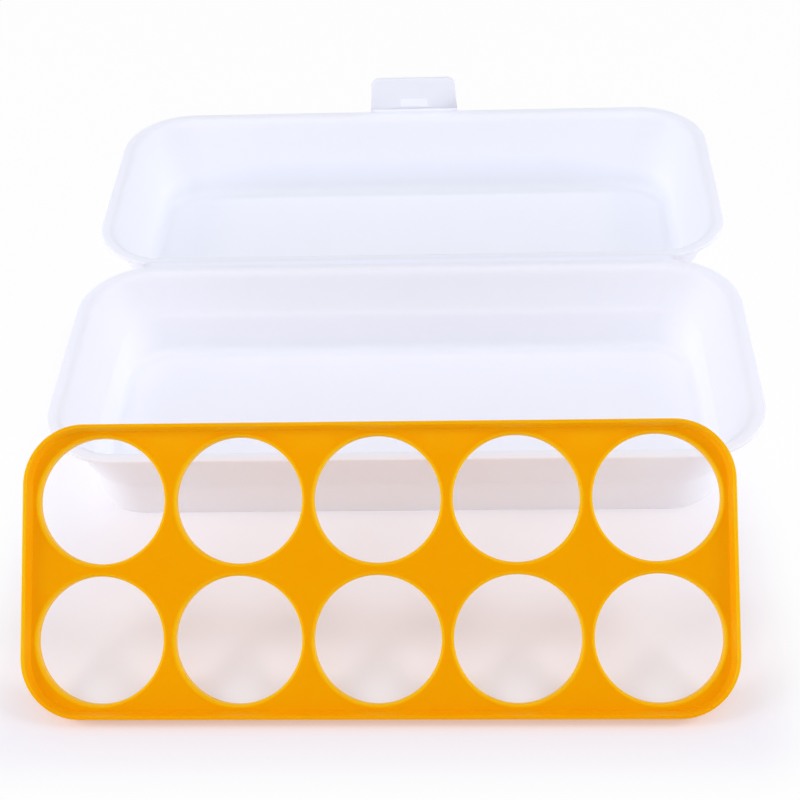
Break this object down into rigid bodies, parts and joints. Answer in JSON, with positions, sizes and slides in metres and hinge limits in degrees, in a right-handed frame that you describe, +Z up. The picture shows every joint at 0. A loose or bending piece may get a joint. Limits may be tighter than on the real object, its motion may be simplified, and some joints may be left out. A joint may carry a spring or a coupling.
{
  "type": "egg storage box",
  "caption": "Folding frosted plastic egg box with a film-hinged lid, a fold-over latch flap and a lift-out orange tray with round egg holes.",
  "frame": {"origin": "centre of the flat underside of the base", "axes": "+X along the length, +Y towards the hinge and the open lid, +Z up out of the base"},
  "size_m": [0.262, 0.3223, 0.0707],
  "materials": {
    "frosted_plastic": "translucent polypropylene with a fine frosted skin",
    "orange_plastic": "satin opaque polypropylene"
  },
  "bodies": {
    "base": {"base_shell": "frosted_plastic", "lid_hinge_film": "frosted_plastic"},
    "lid": {"lid_shell": "frosted_plastic", "latch_hinge_film": "frosted_plastic"},
    "latch": {"latch_flap": "frosted_plastic"},
    "tray": {"egg_tray": "orange_plastic"}
  },
  "joints": [
    {"name": "lid_hinge", "type": "hinge", "parent": "base", "child": "lid", "pos_m": [0, 0.0588, 0.0382], "axis": [1, 0, 0], "range_deg": [0, 180], "deforming": ["lid_hinge_film"]},
    {"name": "latch_fold", "type": "hinge", "parent": "lid", "child": "latch", "pos_m": [0, 0.1764, 0.038], "axis": [-1, 0, 0], "range_deg": [0, 90], "deforming": ["latch_hinge_film"]},
    {"name": "tray_lift", "type": "slide", "parent": "base", "child": "tray", "axis": [0, 0, 1], "range_m": [0, 0.1]}
  ]
}
